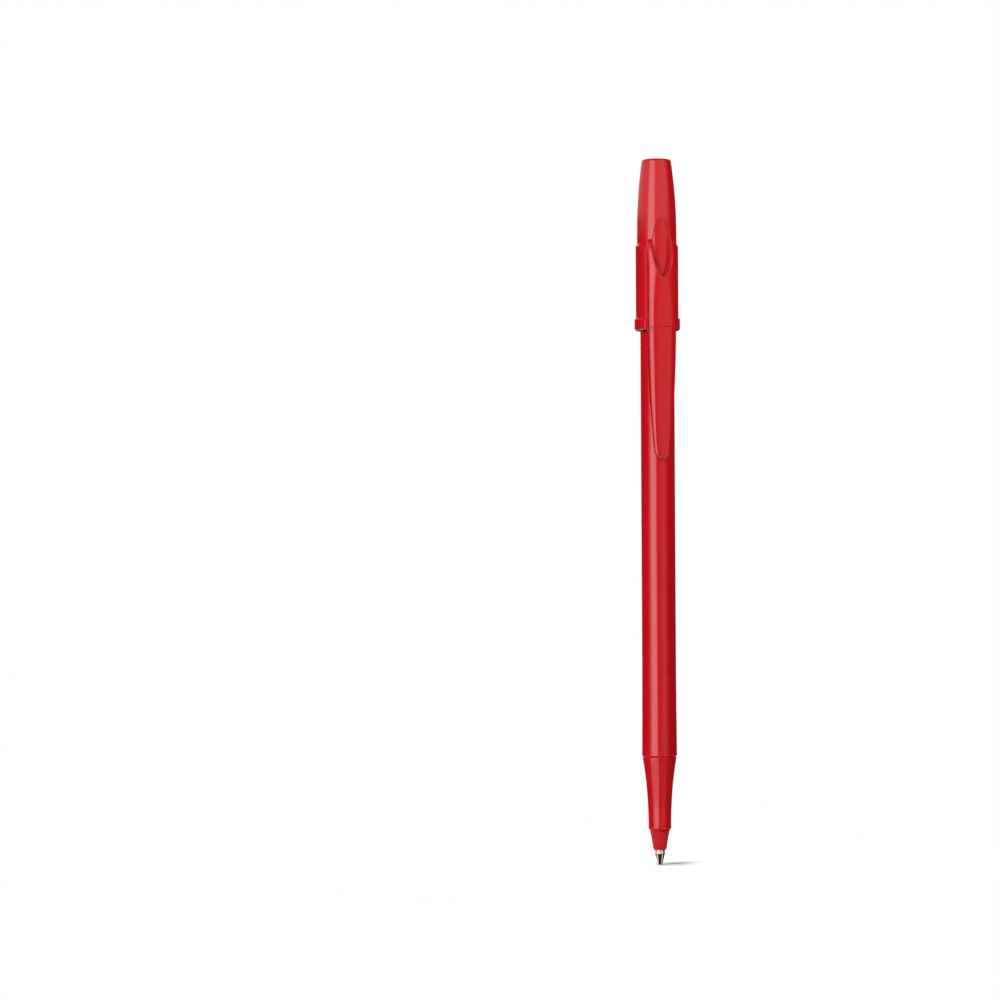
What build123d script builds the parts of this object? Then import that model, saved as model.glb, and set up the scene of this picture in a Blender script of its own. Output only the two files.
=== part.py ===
from build123d import *
import math
import os

# A capped stick ballpoint pen, standing on its writing point with the cap pushed on to its tail.
# Millimetres. The origin is the lowest point of the ball, +Z runs up the pen's axis to the cap's top,
# and the pocket clip faces -Y.

# Lengths along the pen, from the ball upwards
POINT_REACH = 3.35  # ball's lowest point to the front of the plastic cone
CONE_LENGTH = 3.95  # the plastic cone that shows below the nose
NOSE_LENGTH = 16.9
BARREL_LENGTH = 94.85  # seam to shoulder
STUB_LENGTH = 16.8  # shoulder to tail end, and how far the cap goes on
CAP_LENGTH = 38.25

# Fits between pieces, on the radius
PRESS_GAP = 0.01  # pressed or filled seats
BALL_GAP = 0.02  # running gap round the ball
CAP_GAP = 0.04  # cap over what it slides on

# Metal point and ball
BALL_DIAMETER = 1.0
BALL_PROUD = 0.3  # how far the ball stands out of its socket
LIP_WALL = 0.08  # the socket's rim round the ball
WIRE_DIAMETER = 2.3  # the wire that the point is turned from
POINT_COLLAR = 0.85  # straight part that shows in front of the plastic cone
SHANK_DEPTH = 5.6  # full diameter of the point inside the holder
STEM_DIAMETER = 1.8
STEM_LENGTH = 3.0
FEED_DIAMETER = 0.6  # fine hole behind the ball
FEED_LENGTH = 1.1
POINT_BORE = 1.3

# Plastic point holder
CONE_RIM = 0.28  # plastic round the metal point at the cone's front
CONE_STEP = 0.33  # the cone's shoulder, which stops against the nose
CONE_EDGE_RADIUS = 0.15
HOLDER_WALL = 0.65  # plastic round the metal point inside the nose
HOLDER_SHANK_LENGTH = 9.0
HOLDER_SPIGOT_LENGTH = 6.0
INK_CHANNEL = 1.1

# Ink tube and ink
TUBE_BORE = 1.9
TUBE_WALL = 0.55
TUBE_LENGTH = 95.0
INK_HEAD_SPACE = 14.0  # empty length at the tube's open end

# Nose section
NOSE_ROOT_ANGLE = 10.3  # flank's slope at the seam, degrees from the axis
NOSE_CHAMFER_LENGTH = 0.85
NOSE_CHAMFER_DEPTH = 0.4
NOSE_TIP_RADIUS = 0.35
NOSE_SEAM_RADIUS = 0.35
SEAM_STEP = 0.07  # the nose is this much slimmer than the barrel at the seam
PLUG_LENGTH = 10.0  # the nose's plug in the barrel
PLUG_CHAMFER = 0.4
TUBE_ROOM = 0.5  # room round the ink tube inside the plug

# Barrel
BARREL_DIAMETER = 7.6
FLARE_RISE = 0.12  # how far the barrel widens towards the seam
FLARE_LENGTH = 28.0
BARREL_SEAM_RADIUS = 0.3
BARREL_WALL = 1.15
SEAT_STEP = 0.15  # the plug's seat is this much wider than the inside behind it
SHOULDER_STEP = 0.77  # barrel to stub
SHOULDER_RADIUS = 0.45
STUB_DRAFT = 0.08  # how far the stub narrows towards the tail
STUB_EDGE_RADIUS = 0.4
STUB_WALL = 0.65
TAIL_WALL = 1.2
VENT_DIAMETER = 1.0

# Cap
CAP_MOUTH_WALL = 0.89  # the straight skirt's wall at the mouth
CAP_WALL = 1.1  # the wall from the shoulder upwards
CAP_TOP_WALL = 1.4
CAP_TOP_DIAMETER = 6.45  # where the flanks would meet the flat top
CAP_TOP_RADIUS = 0.55
SHOULDER_FROM_MOUTH = 18.8  # foot of the shoulder's chamfer
SHOULDER_HEIGHT = 0.45
CROWN_STEP = 0.35  # how far the cap steps in at the shoulder
CROWN_STRAIGHT = 2.0  # straight stretch between the shoulder and the curved top
COLLAR_RISE = 0.33  # how far the collar stands out of the skirt
COLLAR_HEIGHT = 2.7
COLLAR_MOUTH_RADIUS = 0.5
COLLAR_TOP_RADIUS = 0.3
COLLAR_END_GAP = 0.35  # the collar stops this far from the clip band on each side
COLLAR_END_RADIUS = 0.25
MOUTH_CHAMFER = 0.25
FIN_COUNT = 4
FIN_THICKNESS = 0.8
FIN_FROM_MOUTH = 6.2  # where the fins reach their full height
FIN_LEAD = 1.0  # ramp at their lower ends
FIN_ROOM = 0.1  # room round the plastic cone in the fins' deeper part
FIN_END_ROOM = 4.7  # room past the ball there
FIN_SINK = 0.8  # how deep the fins' roots run into the wall

# Clip band on the cap
CLIP_FRONT_RADIUS = 5.0  # the front's curve, seen from above
BAND_WIDTH = 6.4
BAND_HEIGHT = 20.3  # mouth to the tips of the two horns
HORN_CORNER_RADIUS = 1.1
CROWN_LENGTH = 6.6  # stretch over which the band's front curves back to the cap
CROWN_DROP = 1.15
CLIP_EDGE_RADIUS = 0.65
LINE_FROM_MOUTH = 0.5  # fine moulding line across the front
LINE_HEIGHT = 0.2
LINE_DEPTH = 0.12

# Leaf-shaped recess between the horns
LEAF_WIDTH = 4.1
LEAF_FOOT = 11.7  # mouth to the leaf's lower point
LEAF_POINT_WIDTH = 2.4  # how broad the soft lower point sets out
LEAF_POINT_RISE = 0.52  # and how far it rises over that width
LEAF_FLANK = 3.6  # lower point to where the flanks turn upright
LEAF_WAIST = 18.7  # mouth to its widest place
LEAF_HEAD = 24.85  # mouth to the top of its arch
LEAF_SINK = 0.16  # how far the leaf's surface lies below the cap's
LEAF_RIM_RADIUS = 0.35  # rounding of its rim on the band

# Free arm of the clip
ARM_LENGTH = 28.8
ARM_ROOT_WIDTH = 6.35
ARM_WAIST_WIDTH = 5.36
ARM_WAIST_FROM_TIP = 13.1
ARM_TIP_WIDTH = 3.66
ARM_TIP_ROUND = 1.75  # height of the rounded end
ARM_THICKNESS = 1.4  # at its root
ARM_TIP_THICKNESS = 1.0
ARM_BACK_RADIUS = 0.25  # rounding of its back edges
ARM_LEAN = 0.9  # how far its front leans in towards the barrel at the tip
CLIP_GAP = 0.7  # arm to barrel, at the root
NIB_FROM_TIP = 3.0
NIB_RADIUS = 1.4
NIB_GAP = 0.15  # nib to barrel

# Diameters that one piece takes from another
CONE_FRONT_DIAMETER = WIRE_DIAMETER + 2 * CONE_RIM
HOLDER_DIAMETER = WIRE_DIAMETER + 2 * HOLDER_WALL
CONE_BASE_DIAMETER = HOLDER_DIAMETER + 2 * CONE_STEP
TUBE_DIAMETER = TUBE_BORE + 2 * TUBE_WALL
NOSE_TIP_DIAMETER = CONE_BASE_DIAMETER + 2 * NOSE_CHAMFER_DEPTH
BARREL_NOSE_DIAMETER = BARREL_DIAMETER + 2 * FLARE_RISE
NOSE_ROOT_DIAMETER = BARREL_NOSE_DIAMETER - 2 * SEAM_STEP
PLUG_DIAMETER = BARREL_DIAMETER - 2 * BARREL_WALL + 2 * SEAT_STEP
STUB_ROOT_DIAMETER = BARREL_DIAMETER - 2 * SHOULDER_STEP
STUB_END_DIAMETER = STUB_ROOT_DIAMETER - 2 * STUB_DRAFT
CAP_DIAMETER = NOSE_ROOT_DIAMETER + 2 * CAP_GAP + 2 * CAP_MOUTH_WALL
COLLAR_DIAMETER = CAP_DIAMETER + 2 * COLLAR_RISE
CROWN_DIAMETER = CAP_DIAMETER - 2 * CROWN_STEP
CLIP_FRONT = BARREL_DIAMETER / 2 + CLIP_GAP + ARM_THICKNESS  # pen axis to the clip's front
Y_CLIP = CLIP_FRONT_RADIUS - CLIP_FRONT  # the upright axis that the clip's front curves about

# Heights that the pieces share
Z_BALL = BALL_DIAMETER / 2
Z_CONE = POINT_REACH
Z_NOSE = Z_CONE + CONE_LENGTH
Z_SEAM = Z_NOSE + NOSE_LENGTH
Z_MOUTH = Z_SEAM + BARREL_LENGTH
Z_TAIL = Z_MOUTH + STUB_LENGTH
Z_TOP = Z_MOUTH + CAP_LENGTH
Z_SHANK = Z_CONE + SHANK_DEPTH
Z_STEM = Z_SHANK + STEM_LENGTH
Z_FEED = Z_BALL + FEED_LENGTH
Z_HOLDER = Z_NOSE + HOLDER_SHANK_LENGTH
Z_SPIGOT = Z_HOLDER + HOLDER_SPIGOT_LENGTH
Z_TUBE = Z_HOLDER + TUBE_LENGTH
Z_PLUG = Z_SEAM + PLUG_LENGTH
Z_ARM_TIP = Z_MOUTH - ARM_LENGTH
Z_SHOULDER = Z_MOUTH + SHOULDER_FROM_MOUTH
Z_CROWN = Z_SHOULDER + SHOULDER_HEIGHT + CROWN_STRAIGHT


def turned(face):
    """Solid turned about the pen's axis from an outline of radius and height."""
    return revolve(Plane.XZ * face, Axis.Z)


def rounded(face, corners):
    """Outline with the corners that lie at the given places rounded to the given radii."""
    for place, radius in corners:
        corner = face.vertices().sort_by_distance((*place, 0))[0]
        face = fillet(corner, radius)
    return face


def bore(diameter, low, high):
    """Straight round cutter on the pen's axis between two heights."""
    return Pos(0, 0, low) * Cylinder(diameter / 2, high - low, align=(Align.CENTER, Align.CENTER, Align.MIN))


def make_ball():
    return Pos(0, 0, Z_BALL) * Sphere(BALL_DIAMETER / 2)


def make_point_body():
    wire = WIRE_DIAMETER / 2
    stem = STEM_DIAMETER / 2
    socket_radius = BALL_DIAMETER / 2 + BALL_GAP
    lip = math.sqrt(socket_radius**2 - (Z_BALL - BALL_PROUD) ** 2) + LIP_WALL
    outline = Polyline(
        (0, BALL_PROUD),
        (lip, BALL_PROUD),
        (wire, Z_CONE - POINT_COLLAR),
        (wire, Z_SHANK),
        (stem, Z_SHANK),
        (stem, Z_STEM),
        (0, Z_STEM),
        close=True,
    )
    socket = Pos(0, 0, Z_BALL) * Sphere(socket_radius)
    feed = bore(FEED_DIAMETER, Z_BALL, Z_FEED)
    return turned(make_face(outline)) - socket - feed - bore(POINT_BORE, Z_FEED, Z_STEM)


def make_point_holder():
    front = CONE_FRONT_DIAMETER / 2
    shank = HOLDER_DIAMETER / 2
    spigot = TUBE_BORE / 2 - PRESS_GAP
    outline = make_face(
        Polyline(
            (0, Z_CONE),
            (front, Z_CONE),
            (CONE_BASE_DIAMETER / 2, Z_NOSE),
            (shank, Z_NOSE),
            (shank, Z_HOLDER),
            (spigot, Z_HOLDER),
            (spigot, Z_SPIGOT),
            (0, Z_SPIGOT),
            close=True,
        )
    )
    outside = turned(rounded(outline, [((front, Z_CONE), CONE_EDGE_RADIUS)]))
    seat = bore(WIRE_DIAMETER + 2 * PRESS_GAP, Z_CONE, Z_SHANK)
    stem_hole = bore(STEM_DIAMETER + 2 * PRESS_GAP, Z_SHANK, Z_STEM)
    return outside - seat - stem_hole - bore(INK_CHANNEL, Z_STEM, Z_SPIGOT)


def make_ink_tube():
    return bore(TUBE_DIAMETER, Z_HOLDER, Z_TUBE) - bore(TUBE_BORE, Z_HOLDER, Z_TUBE)


def make_ink():
    filled = 2 * PRESS_GAP
    in_point = bore(POINT_BORE - filled, Z_FEED, Z_STEM)
    in_holder = bore(INK_CHANNEL - filled, Z_STEM, Z_SPIGOT)
    in_tube = bore(TUBE_BORE - filled, Z_SPIGOT, Z_TUBE - INK_HEAD_SPACE)
    return in_point + in_holder + in_tube


def make_nose_section():
    tip = NOSE_TIP_DIAMETER / 2
    root = NOSE_ROOT_DIAMETER / 2
    plug = PLUG_DIAMETER / 2 - PRESS_GAP
    z_flank = Z_NOSE + NOSE_CHAMFER_LENGTH
    # The flank is a parabola: straight along the axis at the tip, sloped at the seam
    z_control = Z_SEAM - (root - tip) / math.tan(math.radians(NOSE_ROOT_ANGLE))
    outline = make_face(
        [
            Polyline((0, Z_NOSE), (CONE_BASE_DIAMETER / 2, Z_NOSE), (tip, z_flank)),
            Bezier((tip, z_flank), (tip, z_control), (root, Z_SEAM)),
            Polyline(
                (root, Z_SEAM),
                (plug, Z_SEAM),
                (plug, Z_PLUG - PLUG_CHAMFER),
                (plug - PLUG_CHAMFER, Z_PLUG),
                (0, Z_PLUG),
                (0, Z_NOSE),
            ),
        ]
    )
    outline = rounded(outline, [((tip, z_flank), NOSE_TIP_RADIUS), ((root, Z_SEAM), NOSE_SEAM_RADIUS)])
    holder_seat = bore(HOLDER_DIAMETER + 2 * PRESS_GAP, Z_NOSE, Z_HOLDER)
    return turned(outline) - holder_seat - bore(TUBE_DIAMETER + 2 * TUBE_ROOM, Z_HOLDER, Z_PLUG)


def make_barrel():
    body = BARREL_DIAMETER / 2
    nose_end = BARREL_NOSE_DIAMETER / 2
    stub_root = STUB_ROOT_DIAMETER / 2
    stub_end = STUB_END_DIAMETER / 2
    z_flare = Z_SEAM + FLARE_LENGTH
    outline = make_face(
        [
            Line((0, Z_SEAM), (nose_end, Z_SEAM)),
            TangentArc((body, z_flare), (nose_end, Z_SEAM), tangent=(0, -1)),
            Polyline(
                (body, z_flare),
                (body, Z_MOUTH),
                (stub_root, Z_MOUTH),
                (stub_end, Z_TAIL),
                (0, Z_TAIL),
                (0, Z_SEAM),
            ),
        ]
    )
    outline = rounded(
        outline,
        [
            ((nose_end, Z_SEAM), BARREL_SEAM_RADIUS),
            ((body, Z_MOUTH), SHOULDER_RADIUS),
            ((stub_end, Z_TAIL), STUB_EDGE_RADIUS),
        ],
    )
    # The inside is drawn straight out of the nose end, so it only narrows towards the tail
    z_end = Z_TAIL - TAIL_WALL
    inside = Polyline(
        (0, Z_PLUG), (body - BARREL_WALL, Z_PLUG), (stub_end - STUB_WALL, z_end), (0, z_end), close=True
    )
    vent = bore(VENT_DIAMETER, z_end, Z_TAIL)
    return turned(outline) - bore(PLUG_DIAMETER, Z_SEAM, Z_PLUG) - turned(make_face(inside)) - vent


def clip_front(outline):
    """Solid turned about the clip's own upright axis from an outline of radius and height."""
    return Pos(0, Y_CLIP, 0) * turned(make_face(outline))


def clip_reach(edge):
    """Distance of an edge's middle from the clip's own upright axis."""
    middle = edge.center()
    return math.hypot(middle.X, middle.Y - Y_CLIP)


def front_prism(outline):
    """Front-view outline of width and height, drawn forwards from the pen's axis past the clip's front."""
    return extrude(Plane.XZ * make_face(outline), 2 * CLIP_FRONT)


def make_leaf():
    """Leaf-shaped prism: a soft lower point, upright flanks and half an ellipse above."""
    half = LEAF_WIDTH / 2
    foot = Z_MOUTH + LEAF_FOOT
    waist = Z_MOUTH + LEAF_WAIST
    head = Z_MOUTH + LEAF_HEAD
    point = LEAF_POINT_WIDTH / 2
    rise = foot + LEAF_POINT_RISE
    flank = foot + LEAF_FLANK
    return front_prism(
        [
            Bezier((0, foot), (point, rise), (half, flank), (half, waist)),
            EllipticalCenterArc((0, waist), half, head - waist, arc_size=180),
            Bezier((-half, waist), (-half, flank), (-point, rise), (0, foot)),
        ]
    )


def make_band():
    """Band that the clip grows from, notched by the leaf between its two horns."""
    front = CLIP_FRONT_RADIUS
    horn = front - CROWN_DROP
    half = BAND_WIDTH / 2
    corner = half - HORN_CORNER_RADIUS
    z_horn = Z_MOUTH + BAND_HEIGHT
    z_corner = z_horn - HORN_CORNER_RADIUS
    z_crown = z_horn - CROWN_LENGTH
    curved = clip_front(
        [
            Polyline((0, Z_MOUTH), (front, Z_MOUTH), (front, z_crown)),
            TangentArc((front, z_crown), (horn, z_horn), tangent=(0, 1)),
            Polyline((horn, z_horn), (0, z_horn), (0, Z_MOUTH)),
        ]
    )
    strip = front_prism(
        Polyline((-half, Z_MOUTH), (half, Z_MOUTH), (half, z_horn), (-half, z_horn), close=True)
    )
    outline = front_prism(
        [
            Polyline((-half, z_corner), (-half, Z_MOUTH), (half, Z_MOUTH), (half, z_corner)),
            TangentArc((half, z_corner), (corner, z_horn), tangent=(0, 1)),
            Line((corner, z_horn), (-corner, z_horn)),
            TangentArc((-corner, z_horn), (-half, z_corner), tangent=(-1, 0)),
        ]
    )

    def curves_forward(face):
        return face.geom_type in (GeomType.CYLINDER, GeomType.TORUS)

    def runs_along(edge):
        return edge.geom_type != GeomType.CIRCLE

    def borders_leaf(edge):
        return abs(edge.center().X) < LEAF_WIDTH / 2

    # The edges are rounded on a strip with a straight top, which is then cut to the horns' rounded corners
    band = curved & strip
    band = fillet(band.faces().filter_by(curves_forward).edges().filter_by(runs_along), CLIP_EDGE_RADIUS)
    band -= make_leaf()
    rim = band.faces().filter_by(curves_forward).edges().filter_by(runs_along).filter_by(borders_leaf)
    band = fillet(rim, LEAF_RIM_RADIUS)
    z_line = Z_MOUTH + LINE_FROM_MOUTH
    line = clip_front(
        Polyline(
            (front - LINE_DEPTH, z_line),
            (front + LINE_DEPTH, z_line),
            (front + LINE_DEPTH, z_line + LINE_HEIGHT),
            (front - LINE_DEPTH, z_line + LINE_HEIGHT),
            close=True,
        )
    )
    return (band & outline) - line


def make_cap_outside():
    skirt = CAP_DIAMETER / 2
    crown = CROWN_DIAMETER / 2
    top = CAP_TOP_DIAMETER / 2
    outline = make_face(
        [
            Polyline(
                (0, Z_MOUTH),
                (skirt, Z_MOUTH),
                (skirt, Z_SHOULDER),
                (crown, Z_SHOULDER + SHOULDER_HEIGHT),
                (crown, Z_CROWN),
            ),
            TangentArc((crown, Z_CROWN), (top, Z_TOP), tangent=(0, 1)),
            Polyline((top, Z_TOP), (0, Z_TOP), (0, Z_MOUTH)),
        ]
    )
    return turned(rounded(outline, [((top, Z_TOP), CAP_TOP_RADIUS)]))


def make_collar():
    """Ring round the mouth, open in front so that it stops short of the clip band on both sides."""
    root = (CAP_DIAMETER - CAP_MOUTH_WALL) / 2
    rim = COLLAR_DIAMETER / 2
    z_collar = Z_MOUTH + COLLAR_HEIGHT
    outline = make_face(
        Polyline((root, Z_MOUTH), (rim, Z_MOUTH), (rim, z_collar), (root, z_collar), close=True)
    )
    corners = [((rim, Z_MOUTH), COLLAR_MOUTH_RADIUS), ((rim, z_collar), COLLAR_TOP_RADIUS)]
    # Its ends lie in planes through the pen's axis
    end_angle = math.asin((BAND_WIDTH / 2 + COLLAR_END_GAP) / rim)
    reach = COLLAR_DIAMETER
    side = reach * math.tan(end_angle)
    opening = make_face(Polyline((0, 0), (side, -reach), (-side, -reach), close=True))
    ring = turned(rounded(outline, corners)) - extrude(Pos(0, 0, Z_MOUTH) * opening, COLLAR_HEIGHT)

    def stands_out(edge):
        middle = edge.center()
        return math.hypot(middle.X, middle.Y) > CAP_DIAMETER / 2

    ends = ring.faces().filter_by(GeomType.PLANE).filter_by(Axis.Z, reverse=True)
    return fillet(ends.edges().filter_by(stands_out), COLLAR_END_RADIUS)


def make_cap_inside():
    mouth = NOSE_ROOT_DIAMETER / 2 + CAP_GAP
    throat = CAP_DIAMETER / 2 - CAP_WALL
    crown = CROWN_DIAMETER / 2 - CAP_WALL
    end = CAP_TOP_DIAMETER / 2 - CAP_WALL
    z_end = Z_TOP - CAP_TOP_WALL
    outline = make_face(
        [
            Polyline(
                (0, Z_MOUTH),
                (mouth + MOUTH_CHAMFER, Z_MOUTH),
                (mouth, Z_MOUTH + MOUTH_CHAMFER),
                (throat, Z_SHOULDER - CAP_WALL),
                (crown, Z_SHOULDER + SHOULDER_HEIGHT),
                (crown, Z_CROWN),
            ),
            TangentArc((crown, Z_CROWN), (end, z_end), tangent=(0, 1)),
            Polyline((end, z_end), (0, z_end), (0, Z_MOUTH)),
        ]
    )
    return turned(outline)


def make_fins():
    """Upright fins that grip the tail stub or the nose, with a step that stops either at the same depth."""
    wall = CROWN_DIAMETER / 2 - CAP_WALL
    z_grip = Z_MOUTH + FIN_FROM_MOUTH
    z_end = Z_TAIL + CONE_LENGTH + POINT_REACH + FIN_END_ROOM
    draft = STUB_DRAFT / STUB_LENGTH
    grip = STUB_END_DIAMETER / 2 + CAP_GAP
    deep = CONE_BASE_DIAMETER / 2 + FIN_ROOM
    outline = Polyline(
        (wall + FIN_SINK, z_grip - FIN_LEAD),
        (grip + draft * (Z_TAIL - z_grip), z_grip),
        (grip, Z_TAIL),
        (deep, Z_TAIL),
        (deep, z_end),
        (wall, z_end),
        (wall + FIN_SINK, Z_CROWN),
        close=True,
    )
    fin = extrude(Plane.XZ * make_face(outline), FIN_THICKNESS / 2, both=True)
    return Part() + PolarLocations(0, FIN_COUNT, start_angle=180 / FIN_COUNT) * fin


def make_cap():
    outside = make_cap_outside() + make_collar() + make_band()
    leaf_floor = bore(CROWN_DIAMETER - 2 * LEAF_SINK, Z_MOUTH, Z_TOP)
    return outside - make_cap_inside() + make_fins() - (make_leaf() - leaf_floor)


def make_pocket_clip():
    root = ARM_ROOT_WIDTH / 2
    waist = ARM_WAIST_WIDTH / 2
    tip = ARM_TIP_WIDTH / 2
    z_waist = Z_ARM_TIP + ARM_WAIST_FROM_TIP
    z_round = Z_ARM_TIP + ARM_TIP_ROUND
    back = CLIP_FRONT_RADIUS - ARM_THICKNESS
    tip_front = CLIP_FRONT_RADIUS - ARM_LEAN
    bar = clip_front(
        Polyline(
            (tip_front - ARM_TIP_THICKNESS, Z_ARM_TIP),
            (tip_front, Z_ARM_TIP),
            (CLIP_FRONT_RADIUS, Z_MOUTH),
            (back, Z_MOUTH),
            close=True,
        )
    )
    outline = front_prism(
        [
            Line((-root, Z_MOUTH), (root, Z_MOUTH)),
            ThreePointArc((root, Z_MOUTH), (waist, z_waist), (tip, z_round)),
            ThreePointArc((tip, z_round), (0, Z_ARM_TIP), (-tip, z_round)),
            ThreePointArc((-tip, z_round), (-waist, z_waist), (-root, Z_MOUTH)),
        ]
    )
    arm = bar & outline

    def runs_along(edge):
        return edge.geom_type not in (GeomType.LINE, GeomType.CIRCLE)

    def borders_front(edge):
        lean = ARM_LEAN * (Z_MOUTH - edge.center().Z) / ARM_LENGTH
        return clip_reach(edge) > CLIP_FRONT_RADIUS - lean - ARM_TIP_THICKNESS / 2

    arm = fillet(arm.edges().filter_by(runs_along).filter_by(borders_front, reverse=True), ARM_BACK_RADIUS)
    arm = fillet(arm.edges().filter_by(runs_along).filter_by(borders_front), CLIP_EDGE_RADIUS)
    # A rounded ridge inside the tip grips the pocket's edge
    nib_front = BARREL_DIAMETER / 2 + NIB_GAP
    ridge = Pos(0, -nib_front - NIB_RADIUS, Z_ARM_TIP + NIB_FROM_TIP) * Rot(0, 90, 0)
    ridge = ridge * Cylinder(NIB_RADIUS, ARM_ROOT_WIDTH)
    core = Pos(0, Y_CLIP, 0) * bore(2 * tip_front - ARM_TIP_THICKNESS, Z_ARM_TIP, Z_MOUTH)
    return arm + (ridge & core & outline)


PIECES = {
    "writing_ball": make_ball,
    "point_body": make_point_body,
    "point_holder": make_point_holder,
    "ink_tube": make_ink_tube,
    "ink": make_ink,
    "nose_section": make_nose_section,
    "barrel": make_barrel,
    "cap": make_cap,
    "pocket_clip": make_pocket_clip,
}

os.makedirs("parts", exist_ok=True)
for name, make in PIECES.items():
    export_step(make(), f"parts/{name}.step")
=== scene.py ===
import math

import bpy
import numpy as np
from mathutils import Matrix, Vector


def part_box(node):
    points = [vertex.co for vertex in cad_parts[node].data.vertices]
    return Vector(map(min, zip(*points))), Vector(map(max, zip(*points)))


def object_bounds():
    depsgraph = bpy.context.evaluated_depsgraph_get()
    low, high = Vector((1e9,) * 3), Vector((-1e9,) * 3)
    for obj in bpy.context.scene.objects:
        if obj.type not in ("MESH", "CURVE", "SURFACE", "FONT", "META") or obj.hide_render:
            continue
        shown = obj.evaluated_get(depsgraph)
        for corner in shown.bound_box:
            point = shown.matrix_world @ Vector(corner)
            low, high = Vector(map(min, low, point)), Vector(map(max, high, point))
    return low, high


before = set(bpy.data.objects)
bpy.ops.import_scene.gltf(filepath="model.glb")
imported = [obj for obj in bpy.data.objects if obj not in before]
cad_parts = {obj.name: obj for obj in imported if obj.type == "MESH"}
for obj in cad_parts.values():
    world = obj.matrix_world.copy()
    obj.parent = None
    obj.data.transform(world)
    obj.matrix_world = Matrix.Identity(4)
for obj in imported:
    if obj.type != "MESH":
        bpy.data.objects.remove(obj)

cad_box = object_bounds()


# Writing ball
# A 1 mm ball of tungsten carbide, sintered and then ground round between plates.
# It is held by the rolled lip of the metal point and turns in ink.
MM = 0.001
BALL_GREY = "6f6e6c"
BALL_PIT_GREY = "4a4947"
BALL_ROUGHNESS = 0.28
BALL_GRAIN = 0.06 * MM  # real grains are a few microns, and are drawn coarser so that they show
PIT_DEPTH = 0.006 * MM
PIT_STRENGTH = 0.15
COLOUR_A, COLOUR_B, COLOUR_OUT = 6, 7, 2  # a Mix node's colour sockets, whose names other sockets share


def linear(hex_colour):
    """Linear RGBA of an sRGB hex colour. A channel up to 0.04045 is divided by 12.92.
    A brighter one gets 0.055 added, is divided by 1.055 and is raised to the power of 2.4."""
    channels = np.array([int(hex_colour[i:i + 2], 16) for i in (0, 2, 4)]) / 255
    lit = np.where(channels <= 0.04045, channels / 12.92, ((channels + 0.055) / 1.055) ** 2.4)
    return (*lit, 1.0)


def add_node(tree, kind, inputs=None, **settings):
    """Shader node of that kind. An input is a value, or the output socket that is linked to it."""
    made = tree.nodes.new("ShaderNode" + kind)
    for name, value in settings.items():
        setattr(made, name, value)
    for socket, value in (inputs or {}).items():
        if isinstance(value, bpy.types.NodeSocket):
            tree.links.new(value, made.inputs[socket])
        else:
            made.inputs[socket].default_value = value
    return made


def start_material(name):
    """Material with an empty node tree, and that tree."""
    material = bpy.data.materials.new(name)
    material.use_nodes = True
    material.node_tree.nodes.clear()
    return material, material.node_tree


def dress(node_name, material):
    """Puts a material on the whole of a CAD node."""
    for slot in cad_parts[node_name].material_slots:
        slot.material = material


# Ground carbide: a dark grey metal with a satin grain, so its highlight is small and soft
carbide, tree = start_material("ground_tungsten_carbide")
place = add_node(tree, "TexCoord").outputs["Object"]
grain = add_node(tree, "TexNoise", {"Vector": place, "Scale": 1 / BALL_GRAIN, "Detail": 2})
shade = add_node(tree, "Mix", {"Factor": grain.outputs["Fac"], COLOUR_A: linear(BALL_PIT_GREY),
                               COLOUR_B: linear(BALL_GREY)}, data_type="RGBA")
pits = add_node(tree, "Bump", {"Height": grain.outputs["Fac"], "Strength": PIT_STRENGTH,
                               "Distance": PIT_DEPTH})
shader = add_node(tree, "BsdfPrincipled", {"Base Color": shade.outputs[COLOUR_OUT], "Metallic": 1,
                                           "Roughness": BALL_ROUGHNESS, "Normal": pits.outputs[0]})
add_node(tree, "OutputMaterial", {"Surface": shader.outputs[0]})
dress("writing_ball", carbide)


# Metal point
# Nickel silver wire of 2.3 mm, turned to a cone in front, drilled for ink and rolled in round the ball.
# It is pressed into the plastic holder.
POINT_SILVER = "e2dccd"
POINT_SHADE = "cdc6b5"
POINT_ROUGHNESS = (0.14, 0.26)  # in the grooves and on the crests of the tool marks
TOOL_MARK = 0.69 * MM  # the tool's feed is about 0.03 mm, and is drawn coarser so that it shows
MARK_DEPTH = 0.0055 * MM
MARK_STRENGTH = 0.25
MARK_WOBBLE = 0.6
TARNISH = 0.9 * MM
WAVE_RATE = 20  # radians that a Wave texture of scale 1 turns through in each metre

# Turned nickel silver: warm white metal whose fine rings stretch every highlight along the point
nickel, tree = start_material("turned_nickel_silver")
place = add_node(tree, "TexCoord").outputs["Object"]
rings = add_node(tree, "TexWave", {"Vector": place, "Scale": 2 * math.pi / WAVE_RATE / TOOL_MARK,
                                   "Distortion": MARK_WOBBLE, "Detail": 1},
                 wave_type="BANDS", bands_direction="Z")
cloud = add_node(tree, "TexNoise", {"Vector": place, "Scale": 1 / TARNISH, "Detail": 3})
shade = add_node(tree, "Mix", {"Factor": cloud.outputs["Fac"], COLOUR_A: linear(POINT_SHADE),
                               COLOUR_B: linear(POINT_SILVER)}, data_type="RGBA")
gloss = add_node(tree, "MapRange", {"Value": rings.outputs["Fac"], "To Min": POINT_ROUGHNESS[0],
                                    "To Max": POINT_ROUGHNESS[1]})
marks = add_node(tree, "Bump", {"Height": rings.outputs["Fac"], "Strength": MARK_STRENGTH,
                                "Distance": MARK_DEPTH})
shader = add_node(tree, "BsdfPrincipled", {"Base Color": shade.outputs[COLOUR_OUT], "Metallic": 1,
                                           "Roughness": gloss.outputs[0], "Normal": marks.outputs[0]})
add_node(tree, "OutputMaterial", {"Surface": shader.outputs[0]})
dress("point_body", nickel)


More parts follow.
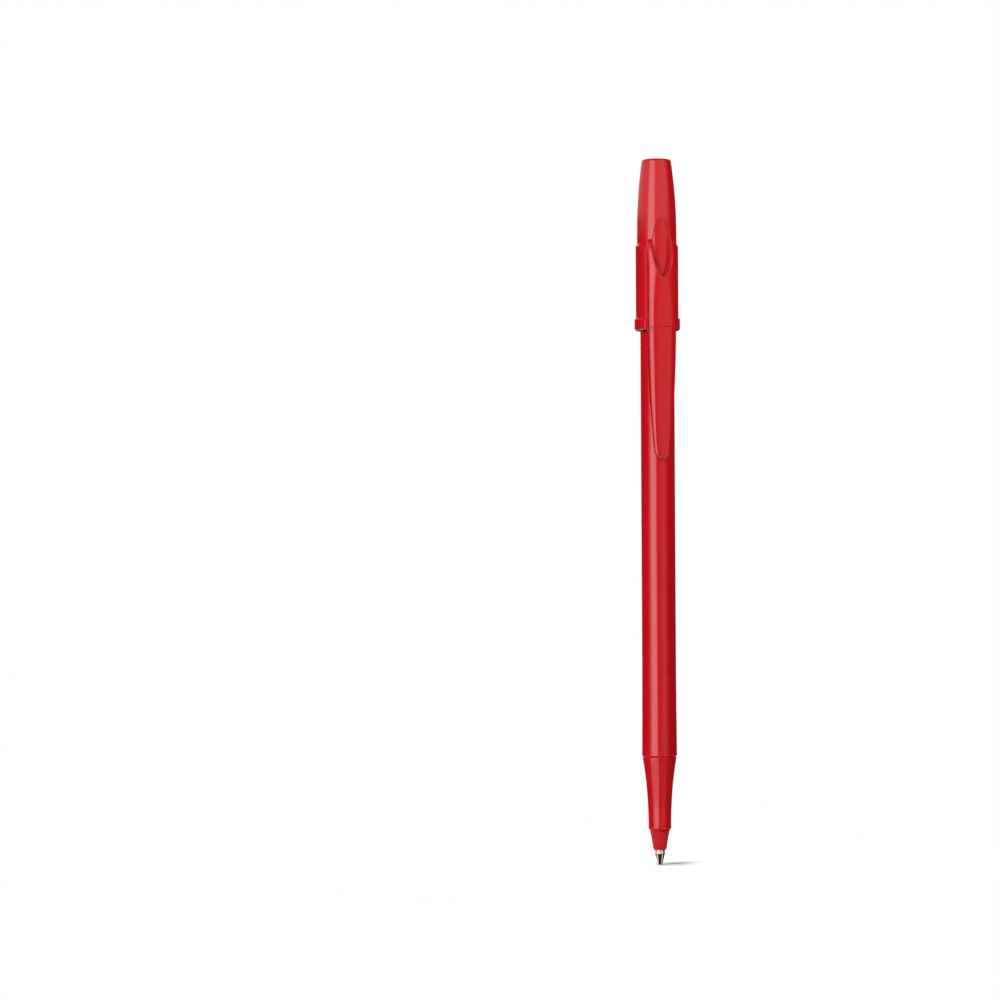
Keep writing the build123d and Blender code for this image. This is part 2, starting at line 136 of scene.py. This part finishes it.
# Point holder
# A small cone and shank of polypropylene, moulded with a seat for the metal point and pushed into the nose.
# Its spigot at the back carries the ink tube.
HOLDER_RED = "ca141e"
HOLDER_DEEP_RED = "ba0e17"
HOLDER_ROUGHNESS = 0.4
HOLDER_SPECULAR = 0.2
HOLDER_CLOUD = 2.5 * MM
POLYPROPYLENE_IOR = 1.49
SPARK_TEXTURE = 0.22 * MM  # the mould's eroded finish is about 0.05 mm, drawn coarser so that it shows
SPARK_DEPTH = 0.0183 * MM
SPARK_STRENGTH = 0.2

# Satin polypropylene: slightly milky and duller than the glossy pieces, with a broad weak highlight
satin, tree = start_material("satin_polypropylene")
place = add_node(tree, "TexCoord").outputs["Object"]
cloud = add_node(tree, "TexNoise", {"Vector": place, "Scale": 1 / HOLDER_CLOUD, "Detail": 2})
shade = add_node(tree, "Mix", {"Factor": cloud.outputs["Fac"], COLOUR_A: linear(HOLDER_DEEP_RED),
                               COLOUR_B: linear(HOLDER_RED)}, data_type="RGBA")
texture = add_node(tree, "TexNoise", {"Vector": place, "Scale": 1 / SPARK_TEXTURE, "Detail": 3})
matt = add_node(tree, "Bump", {"Height": texture.outputs["Fac"], "Strength": SPARK_STRENGTH,
                               "Distance": SPARK_DEPTH})
shader = add_node(tree, "BsdfPrincipled", {"Base Color": shade.outputs[COLOUR_OUT],
                                           "Roughness": HOLDER_ROUGHNESS, "IOR": POLYPROPYLENE_IOR,
                                           "Specular IOR Level": HOLDER_SPECULAR,
                                           "Normal": matt.outputs[0]})
add_node(tree, "OutputMaterial", {"Surface": shader.outputs[0]})
dress("point_holder", satin)


# Ink tube
# A straight extruded tube of natural polypropylene, cut to length and pushed on to the holder's spigot.
# Its rear end is open inside the barrel.
TUBE_MILK = "dcdad2"
TUBE_CLEAR = "e8e6e0"
TUBE_ROUGHNESS = 0.35
TUBE_CLARITY = 0.65
DRAW_WIDTH = 0.25 * MM  # of the lines that the extruder's die leaves along the tube
DRAW_LENGTH = 25 * MM
DRAW_DEPTH = 0.0125 * MM
DRAW_STRENGTH = 0.2

# Natural polypropylene: milky and see-through enough to show the ink, with faint lines along its length
milky, tree = start_material("natural_polypropylene")
place = add_node(tree, "TexCoord").outputs["Object"]
along = add_node(tree, "Mapping", {"Vector": place, "Scale": (1, 1, DRAW_WIDTH / DRAW_LENGTH)})
lines = add_node(tree, "TexNoise", {"Vector": along.outputs[0], "Scale": 1 / DRAW_WIDTH, "Detail": 2})
shade = add_node(tree, "Mix", {"Factor": lines.outputs["Fac"], COLOUR_A: linear(TUBE_MILK),
                               COLOUR_B: linear(TUBE_CLEAR)}, data_type="RGBA")
grooves = add_node(tree, "Bump", {"Height": lines.outputs["Fac"], "Strength": DRAW_STRENGTH,
                                  "Distance": DRAW_DEPTH})
shader = add_node(tree, "BsdfPrincipled", {"Base Color": shade.outputs[COLOUR_OUT],
                                           "Roughness": TUBE_ROUGHNESS, "IOR": POLYPROPYLENE_IOR,
                                           "Transmission Weight": TUBE_CLARITY,
                                           "Normal": grooves.outputs[0]})
add_node(tree, "OutputMaterial", {"Surface": shader.outputs[0]})
dress("ink_tube", milky)


# Ink
# A column of red paste ink, dye in oil, which fills the point, the holder's channel and most of the tube.
# It is held by its own thickness.
INK_RED = "7d0614"
INK_DARK_RED = "4a030c"
INK_ROUGHNESS = (0.06, 0.16)  # in deep and in thin dye
INK_IOR = 1.48
INK_SWIRL = 1.6 * MM
INK_STIR = 1.5

# Paste ink: nearly black where it is thick, wet and smooth, with slow swirls of deeper dye
paste, tree = start_material("oil_dye_ink")
place = add_node(tree, "TexCoord").outputs["Object"]
swirl = add_node(tree, "TexNoise", {"Vector": place, "Scale": 1 / INK_SWIRL, "Detail": 3,
                                    "Distortion": INK_STIR})
shade = add_node(tree, "Mix", {"Factor": swirl.outputs["Fac"], COLOUR_A: linear(INK_DARK_RED),
                               COLOUR_B: linear(INK_RED)}, data_type="RGBA")
film = add_node(tree, "MapRange", {"Value": swirl.outputs["Fac"], "To Min": INK_ROUGHNESS[0],
                                   "To Max": INK_ROUGHNESS[1]})
shader = add_node(tree, "BsdfPrincipled", {"Base Color": shade.outputs[COLOUR_OUT],
                                           "Roughness": film.outputs[0], "IOR": INK_IOR})
add_node(tree, "OutputMaterial", {"Surface": shader.outputs[0]})
dress("ink", paste)


# Nose section
# The waisted front piece, moulded in red polystyrene in a polished mould.
# Its plug is pressed into the barrel, and the point holder is pushed in from the front.
PEN_RED = "c40715"
PEN_DEEP_RED = "bb0612"
PEN_ROUGHNESS = (0.13, 0.2)  # of clean and of handled gloss
POLYSTYRENE_IOR = 1.59
FLOW_LENGTH = 14 * MM  # of the faint clouds that the melt leaves as it runs along the mould
FLOW_WIDTH = 1.1 * MM
HANDLING = 3.2 * MM  # patches dulled by handling
HANDLING_CRISPNESS = 0.6
NOISE_SPAN = (0.3, 0.7)  # nearly all of a noise texture's values lie between these
ORANGE_PEEL = 0.9 * MM
PEEL_DEPTH = 0.045 * MM
PEEL_STRENGTH = 0.06
EDGE_ROUND = 0.16 * MM  # every moulded edge is slightly rounded
EDGE_SAMPLES = 8

# Glossy polystyrene: full even red under a sharp clear gloss, with faint flow clouds and some duller patches
glossy, tree = start_material("glossy_polystyrene")
place = add_node(tree, "TexCoord").outputs["Object"]
along = add_node(tree, "Mapping", {"Vector": place, "Scale": (1, 1, FLOW_WIDTH / FLOW_LENGTH)})
flow = add_node(tree, "TexNoise", {"Vector": along.outputs[0], "Scale": 1 / FLOW_WIDTH, "Detail": 2})
shade = add_node(tree, "Mix", {"Factor": flow.outputs["Fac"], COLOUR_A: linear(PEN_DEEP_RED),
                               COLOUR_B: linear(PEN_RED)}, data_type="RGBA")
patches = add_node(tree, "TexNoise", {"Vector": place, "Scale": 1 / HANDLING, "Detail": 4,
                                      "Roughness": HANDLING_CRISPNESS})
gloss = add_node(tree, "MapRange", {"Value": patches.outputs["Fac"], "From Min": NOISE_SPAN[0],
                                    "From Max": NOISE_SPAN[1], "To Min": PEN_ROUGHNESS[0],
                                    "To Max": PEN_ROUGHNESS[1]})
peel = add_node(tree, "TexNoise", {"Vector": place, "Scale": 1 / ORANGE_PEEL, "Detail": 1})
edges = add_node(tree, "Bevel", {"Radius": EDGE_ROUND}, samples=EDGE_SAMPLES)
skin = add_node(tree, "Bump", {"Height": peel.outputs["Fac"], "Strength": PEEL_STRENGTH,
                               "Distance": PEEL_DEPTH, "Normal": edges.outputs[0]})
shader = add_node(tree, "BsdfPrincipled", {"Base Color": shade.outputs[COLOUR_OUT],
                                           "Roughness": gloss.outputs[0], "IOR": POLYSTYRENE_IOR,
                                           "Normal": skin.outputs[0]})
add_node(tree, "OutputMaterial", {"Surface": shader.outputs[0]})
dress("nose_section", glossy)


# Barrel
# A long tube of the same polystyrene, moulded in one with its thin tail stub and drawn off a core from the
# nose end. A small vent in the tail lets air in behind the ink.
dress("barrel", glossy)


# Cap
# A moulded shell of the same polystyrene, with a collar, a clip band with two horns and a leaf-shaped
# recess. Fins inside it grip the tail stub or the nose.
ARM_TIP_HALF_WIDTH = 1.83 * MM
ARM_TIP_ROUND = 1.75 * MM
EDGE_SLOPE = 1.05  # of the front at its very edge
EDGE_POWER = 3
FRONT_MARGIN = 1.03  # share of the half width that still counts as the front
FRONT_FACING = (-0.3, -0.6)  # the normal's Y where the front begins, and where it is all front
FLAT_FADE = (4 * MM, 14 * MM)  # heights above the mouth between which the flat look fades out
VECTOR_A, VECTOR_B, VECTOR_OUT = 4, 5, 1  # a Mix node's vector sockets

# Clip moulding: the same polystyrene on a front that is nearly flat and rolls over at broad soft edges, so
# that the streak of light runs along the left edge of the band and of the arm below it
clip_gloss = glossy.copy()
clip_gloss.name = "glossy_polystyrene_clip"
tree = clip_gloss.node_tree
edges = tree.nodes["Bevel"]
spot = add_node(tree, "SeparateXYZ", {0: tree.nodes["Texture Coordinate"].outputs["Object"]}).outputs
facing = add_node(tree, "SeparateXYZ", {0: edges.outputs[0]}).outputs

# The arm's half width grows from its tip with the square root of the height, up to the band's
arm_low, arm_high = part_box("pocket_clip")
along = add_node(tree, "MapRange", {"Value": spot["Z"], "From Min": arm_low[2] + ARM_TIP_ROUND,
                                    "From Max": arm_high[2]})
widened = add_node(tree, "Math", {0: along.outputs[0]}, operation="SQRT")
half_width = add_node(tree, "MapRange", {"Value": widened.outputs[0], "To Min": ARM_TIP_HALF_WIDTH,
                                         "To Max": arm_high[0]})

# The front's slope is its slope at the edge, times a power of the share of the half width
share = add_node(tree, "Math", {0: spot["X"], 1: half_width.outputs[0]}, operation="DIVIDE")
power = add_node(tree, "Math", {0: share.outputs[0], 1: EDGE_POWER}, operation="POWER")
slope = add_node(tree, "Math", {0: power.outputs[0], 1: -EDGE_SLOPE}, operation="MULTIPLY")
across = add_node(tree, "Math", {0: slope.outputs[0], 1: facing["Y"]}, operation="MULTIPLY")
rolled = add_node(tree, "CombineXYZ", {"X": across.outputs[0], "Y": facing["Y"], "Z": facing["Z"]})

# It counts where the surface faces forwards, below the leaf, and between the edges of the band or the arm
forwards = add_node(tree, "MapRange", {"Value": facing["Y"], "From Min": FRONT_FACING[0],
                                       "From Max": FRONT_FACING[1]})
low_down = add_node(tree, "MapRange", {"Value": spot["Z"], "From Min": arm_high[2] + FLAT_FADE[0],
                                       "From Max": arm_high[2] + FLAT_FADE[1], "To Min": 1, "To Max": 0})
aside = add_node(tree, "Math", {0: share.outputs[0]}, operation="ABSOLUTE")
within = add_node(tree, "Math", {0: aside.outputs[0], 1: FRONT_MARGIN}, operation="LESS_THAN")
on_front = add_node(tree, "Math", {0: forwards.outputs[0], 1: low_down.outputs[0]}, operation="MULTIPLY")
on_band = add_node(tree, "Math", {0: on_front.outputs[0], 1: within.outputs[0]}, operation="MULTIPLY")
bent = add_node(tree, "Mix", {"Factor": on_band.outputs[0], VECTOR_A: edges.outputs[0],
                              VECTOR_B: rolled.outputs[0]}, data_type="VECTOR")
unit = add_node(tree, "VectorMath", {0: bent.outputs[VECTOR_OUT]}, operation="NORMALIZE")
tree.links.new(unit.outputs[0], tree.nodes["Bump"].inputs["Normal"])
dress("cap", clip_gloss)


# Pocket clip
# The free arm of the cap's clip, moulded in one with the cap and bending at its mouth.
# A ridge inside its tip grips the pocket's edge.
dress("pocket_clip", clip_gloss)


# Table
# A small round stand of white card that the pen stands on with its point.
# What the camera and reflections see of it glows with painted light up to plain white. The glow is kept off
# the pen's shadow near the point and grows outwards, so the shadow's fade outwards is painted.
CAMERA_BEARING = -15.2  # degrees round from the side that the clip faces
TABLE_RADIUS = 0.085
CARD_WHITE = "e6e6e6"
CARD_SEEN_WHITE = "fafafa"
# Painted light: strength of the glow that the camera and reflections see on the card away from the shadow
CARD_LIFT = 0.6
SHADOW_BEARING = 135  # the lift grows outwards from a place in the pen's shadow
SHADOW_SHIFT = 3 * MM
LIFT_START = 3 * MM
LIFT_END = 10 * MM
GLOW_LEFT_BEARING = -90  # it also grows to the left of the point, which clears the side lamp's shadow
GLOW_LEFT_START = 0.3 * MM
GLOW_LEFT_END = 2.5 * MM
CARD_FIBRE = 0.8 * MM
FIBRE_DEPTH = 0.016 * MM
FIBRE_STRENGTH = 0.05
HALF_TURN = 180
TURN_STEPS = 48
WHITE = linear("ffffff")


def from_pen(bearing, distance, height):
    """Place at a distance from the pen's axis: the sine and cosine of its bearing, times the distance.
    The bearing is in degrees round from the camera, to the camera's right."""
    turn = np.radians(CAMERA_BEARING + np.asarray(bearing, float))
    return np.stack(np.broadcast_arrays(np.sin(turn) * distance, -np.cos(turn) * distance, height), axis=-1)


def swept_sheet(name, start, stop, profile, material):
    """Stage piece: a profile of distances from the axis and heights, swept round between two bearings."""
    distance, height = np.array(profile).T
    bearing = np.linspace(start, stop, TURN_STEPS)[:, None]
    points = from_pen(bearing, distance, height)
    rows, columns = points.shape[:2]
    corner = np.arange(rows * columns).reshape(rows, columns)
    faces = np.stack([corner[:-1, :-1], corner[:-1, 1:], corner[1:, 1:], corner[1:, :-1]], axis=-1)
    mesh = bpy.data.meshes.new(name)
    mesh.from_pydata(points.reshape(-1, 3).tolist(), [], faces.reshape(-1, 4).tolist())
    mesh.materials.append(material)
    piece = bpy.data.objects.new(name, mesh)
    bpy.context.scene.collection.objects.link(piece)
    return piece


def seen_rays(tree):
    """Socket that is 1 for the camera's rays and those that a gloss or a clear piece passes on, else 0."""
    path = add_node(tree, "LightPath").outputs
    seen = path["Is Camera Ray"]
    for passed_on in ("Is Glossy Ray", "Is Transmission Ray"):
        seen = add_node(tree, "Math", {0: seen, 1: path[passed_on]}, operation="MAXIMUM").outputs[0]
    return seen


# Uncoated card: a dead matt white with a faint fibre, under a painted glow that fades the pen's shadow
card, tree = start_material("uncoated_white_card")
place = add_node(tree, "TexCoord").outputs["Object"]
fibre = add_node(tree, "TexNoise", {"Vector": place, "Scale": 1 / CARD_FIBRE, "Detail": 2})
tooth = add_node(tree, "Bump", {"Height": fibre.outputs["Fac"], "Strength": FIBRE_STRENGTH,
                                "Distance": FIBRE_DEPTH})
seen = seen_rays(tree)
shade = add_node(tree, "Mix", {"Factor": seen, COLOUR_A: linear(CARD_WHITE),
                               COLOUR_B: linear(CARD_SEEN_WHITE)}, data_type="RGBA")
matt = add_node(tree, "BsdfDiffuse", {"Color": shade.outputs[COLOUR_OUT], "Normal": tooth.outputs[0]})
# Painted light: an emission seen only by the camera and reflections, kept off the shadow near the point and
# growing outwards from it, fades the pen's shadow
in_shadow = from_pen(SHADOW_BEARING, SHADOW_SHIFT, 0)
outwards = add_node(tree, "VectorMath", {0: place, 1: in_shadow}, operation="DISTANCE")
glow_out = add_node(tree, "MapRange", {"Value": outwards.outputs["Value"], "From Min": LIFT_START,
                                    "From Max": LIFT_END, "To Max": CARD_LIFT})
# Painted light: the glow also grows to the left of the point and paints out the side lamp's shadow there
leftwards = add_node(tree, "VectorMath", {0: place, 1: from_pen(GLOW_LEFT_BEARING, 1, 0)}, operation="DOT_PRODUCT")
lit = add_node(tree, "MapRange", {"Value": leftwards.outputs["Value"], "From Min": GLOW_LEFT_START,
                                  "From Max": GLOW_LEFT_END, "To Max": CARD_LIFT})
most = add_node(tree, "Math", {0: glow_out.outputs[0], 1: lit.outputs[0]}, operation="MAXIMUM")
lift = add_node(tree, "Math", {0: seen, 1: most.outputs[0]}, operation="MULTIPLY")
glow = add_node(tree, "Emission", {"Color": WHITE, "Strength": lift.outputs[0]})
both = add_node(tree, "AddShader", {0: matt.outputs[0], 1: glow.outputs[0]})
add_node(tree, "OutputMaterial", {"Surface": both.outputs[0]})
swept_sheet("table_card", -HALF_TURN, HALF_TURN, [(0, 0), (TABLE_RADIUS, 0)], card)


# Drapes and cloths
# Sheets hung round and over the set and laid in rings on the card, mostly black, with some grey and white.
# They glow with their own light and only reflections see them, so they are painted reflections. They give
# the gloss its dark sides, the streak its soft left edge, and the metal its dark and bright bands. The
# softbox of the streak stands in a gap between two of them.
DRAPE_BLACK = 0.02  # brightness of the sheets, where 1 is white
DRAPE_GREY = 0.15
DRAPE_PALE = 0.33
BOX_GLOW = 0.9
WALL_PALE = 0.72
BACK_GLOW = 1.5
CLOTH_DIM = 0.25
CLOTH_PALE = 0.7
CLOTH_WHITE = 0.9
CLOTH_BRIGHT = 1.6
DRAPE_DISTANCE = 0.5
DRAPE_FOOT = -0.2
WALL_LOW = 0.205
WALL_HIGH = 0.43
DRAPE_TOP = 0.8
ON_CARD = 0.05 * MM
RING_EDGES = (0.75 * MM, 5 * MM, 18 * MM, 50 * MM, TABLE_RADIUS)  # seen by the cone, holder, collar and nose
BACK_START = 186  # bearings at which sheets begin or end
BACK_STOP = 206
BOX_SHADE = -72
BOX_LEFT = -56
BOX_RIGHT = -9
CAMERA_RIGHT = 14
FILL_RIGHT = 52
WALL_FADE = 40
WALL_RIGHT = 95
CONE_LEFT = -46
CONE_RIGHT = 46
HOLDER_LEFT = -5
COLLAR_LEFT = -79
COLLAR_FRONT = 4
COLLAR_RIGHT = 26
CLOTH_RIGHT = 76
RING_RIGHT = 125
NOSE_LEFT = -66
NOSE_FRONT = -6


def drape(name, start, stop, profile, first, last=None):
    """Swept sheet that glows with its own light and that only reflections see, a painted reflection. Its
    brightness runs evenly from its first side to its last.
    """
    material, tree = start_material(name)
    level = add_node(tree, "Attribute", attribute_name="level")
    glow = add_node(tree, "Emission", {"Color": WHITE, "Strength": level.outputs["Fac"]})
    add_node(tree, "OutputMaterial", {"Surface": glow.outputs[0]})
    piece = swept_sheet(name, start, stop, profile, material)
    levels = np.repeat(np.linspace(first, first if last is None else last, TURN_STEPS), len(profile))
    piece.data.attributes.new("level", "FLOAT", "POINT").data.foreach_set("value", levels)
    for ray in ("camera", "diffuse", "transmission", "volume_scatter", "shadow"):
        setattr(piece, "visible_" + ray, False)


hung = [(DRAPE_DISTANCE, DRAPE_FOOT), (DRAPE_DISTANCE, WALL_LOW)]
wall = [(DRAPE_DISTANCE, WALL_LOW), (DRAPE_DISTANCE, WALL_HIGH)]
over = [(DRAPE_DISTANCE, WALL_HIGH), (DRAPE_DISTANCE, DRAPE_TOP), (0, DRAPE_TOP)]
cone, holder, collar, nose = ([(inner, ON_CARD), (outer, ON_CARD)]
                              for inner, outer in zip(RING_EDGES, RING_EDGES[1:]))
drape("back_strip", BACK_START, BACK_STOP, hung, BACK_GLOW)
drape("drape_left", BACK_STOP - 2 * HALF_TURN, BOX_SHADE, hung, DRAPE_BLACK)
drape("box_edge", BOX_SHADE, BOX_LEFT, hung, DRAPE_BLACK, BOX_GLOW)
drape("drape_camera", BOX_RIGHT, CAMERA_RIGHT, hung, DRAPE_GREY)
drape("drape_front", CAMERA_RIGHT, FILL_RIGHT, hung, DRAPE_PALE)
drape("drape_right", FILL_RIGHT, BACK_START, hung, DRAPE_BLACK)
drape("wall_pale", -HALF_TURN, WALL_FADE, wall, WALL_PALE)
drape("wall_fade", WALL_FADE, WALL_RIGHT, wall, WALL_PALE, DRAPE_BLACK)
drape("wall_dark", WALL_RIGHT, HALF_TURN, wall, DRAPE_BLACK)
drape("drape_over", -HALF_TURN, HALF_TURN, over, DRAPE_BLACK)
drape("cone_left", -HALF_TURN, CONE_LEFT, cone, CLOTH_BRIGHT, CLOTH_PALE)
drape("cone_front", CONE_LEFT, CONE_RIGHT, cone, DRAPE_BLACK)
drape("cone_fill", CONE_RIGHT, CLOTH_RIGHT, cone, CLOTH_WHITE)
drape("cone_right", CLOTH_RIGHT, RING_RIGHT, cone, DRAPE_BLACK)
drape("holder_left", -HALF_TURN, HOLDER_LEFT, holder, CLOTH_DIM)
drape("holder_right", HOLDER_LEFT, HALF_TURN, holder, DRAPE_BLACK)
drape("collar_left", -HALF_TURN, COLLAR_LEFT, collar, CLOTH_BRIGHT, CLOTH_PALE)
drape("collar_front", COLLAR_FRONT, COLLAR_RIGHT, collar, CLOTH_PALE)
drape("collar_fill", COLLAR_RIGHT, CLOTH_RIGHT, collar, CLOTH_BRIGHT)
drape("collar_right", CLOTH_RIGHT, RING_RIGHT, collar, DRAPE_BLACK)
drape("nose_left", -HALF_TURN, NOSE_LEFT, nose, DRAPE_BLACK)
drape("nose_front", NOSE_FRONT, CAMERA_RIGHT, nose, DRAPE_BLACK)
drape("nose_fill", CAMERA_RIGHT, FILL_RIGHT, nose, DRAPE_GREY)
drape("nose_right", FILL_RIGHT, HALF_TURN, nose, DRAPE_BLACK)


# Lamps
# A softbox stands at the camera's left and draws the long streak down the pen. A small key lamp hangs above
# and beyond it and throws the shadow. Large lamps light the right side and the back, and one with a narrow
# beam lights the cap.
PEN_MIDDLE = (cad_box[0].z + cad_box[1].z) / 2
CAP_MIDDLE = 0.14
FULL_BEAM = 180
CAP_BEAM = 40


def softbox(name, bearing, distance, height, size, brightness, aim=PEN_MIDDLE, beam=FULL_BEAM,
            mirrored=False):
    """Rectangular lamp that faces the pen's axis at the height of its aim, with a beam of that many degrees.
    Its power is pi times its area and its brightness."""
    lamp = bpy.data.lights.new(name, "AREA")
    lamp.shape = "RECTANGLE"
    lamp.size, lamp.size_y = size
    lamp.energy = math.pi * lamp.size * lamp.size_y * brightness
    lamp.spread = math.radians(beam)
    piece = bpy.data.objects.new(name, lamp)
    piece.location = from_pen(bearing, distance, height)
    piece.rotation_euler = (Vector((0, 0, aim)) - piece.location).to_track_quat("-Z", "Y").to_euler()
    piece.visible_camera = False
    piece.visible_glossy = mirrored
    bpy.context.scene.collection.objects.link(piece)


softbox("streak_softbox", bearing=-31.5, distance=0.46, height=0.15, size=(0.31, 0.42), brightness=2.0,
        mirrored=True)
softbox("key_lamp", bearing=-45, distance=0.6, height=0.55, size=(0.14, 0.14), brightness=49.0)
softbox("side_lamp", bearing=45, distance=0.75, height=0.12, size=(0.5, 0.5), brightness=2.05)
softbox("cap_lamp", bearing=65, distance=0.2, height=0.22, size=(0.12, 0.12), brightness=0.38,
        aim=CAP_MIDDLE, beam=CAP_BEAM)
softbox("back_lamp", bearing=165, distance=0.75, height=0.08, size=(0.5, 0.5), brightness=3.4)


# Room
# A white room. What the camera, the gloss and the clear pieces see of it is plain white.
# To all else it is dimmer, and fills the shadows softly.
ROOM_SEEN = 1.0
ROOM_FILL = 0.28

world = bpy.data.worlds.new("white_room")
world.use_nodes = True
tree = world.node_tree
tree.nodes.clear()
plain = add_node(tree, "Background", {"Color": WHITE, "Strength": ROOM_SEEN})
fill = add_node(tree, "Background", {"Color": WHITE, "Strength": ROOM_FILL})
room = add_node(tree, "MixShader", {0: seen_rays(tree), 1: fill.outputs[0], 2: plain.outputs[0]})
add_node(tree, "OutputWorld", {"Surface": room.outputs[0]})
bpy.context.scene.world = world
bpy.context.scene.view_settings.view_transform = "Standard"


# Camera
# A long lens on a stand, a little below the height of the pen's middle.
# It is turned so that the point and the cap's top land on their places in the picture.
CAMERA_DISTANCE = 0.815
CAMERA_HEIGHT = 0.07
LENS = 131.4  # focal length and sensor width in millimetres, as cameras take them
SENSOR = 36.0
PICTURE_SIDE = 1000
POINT_PIXEL = (660.05, 864.5)
TOP_PIXEL = (656.15, 160.0)


def between(first, second):
    """Right-handed axes of two directions: halfway between them, across both, and square to those."""
    middle = (first.normalized() + second.normalized()).normalized()
    across = first.cross(second).normalized()
    return Matrix((middle, across, middle.cross(across))).transposed()


def pixel_ray(pixel):
    """Direction of a pixel in the camera's own axes, looking along -Z."""
    half = PICTURE_SIDE / 2
    focal = PICTURE_SIDE * LENS / SENSOR
    return Vector(((pixel[0] - half) / focal, (half - pixel[1]) / focal, -1))


lens = bpy.data.cameras.new("studio_camera")
lens.lens = LENS
lens.sensor_width = SENSOR
camera = bpy.data.objects.new("studio_camera", lens)
stand = Vector(from_pen(0, CAMERA_DISTANCE, CAMERA_HEIGHT))
to_pen = between(Vector((0, 0, cad_box[0].z)) - stand, Vector((0, 0, cad_box[1].z)) - stand)
turn = to_pen @ between(pixel_ray(POINT_PIXEL), pixel_ray(TOP_PIXEL)).transposed()
camera.matrix_world = Matrix.Translation(stand) @ turn.to_4x4()
bpy.context.scene.collection.objects.link(camera)
bpy.context.scene.camera = camera
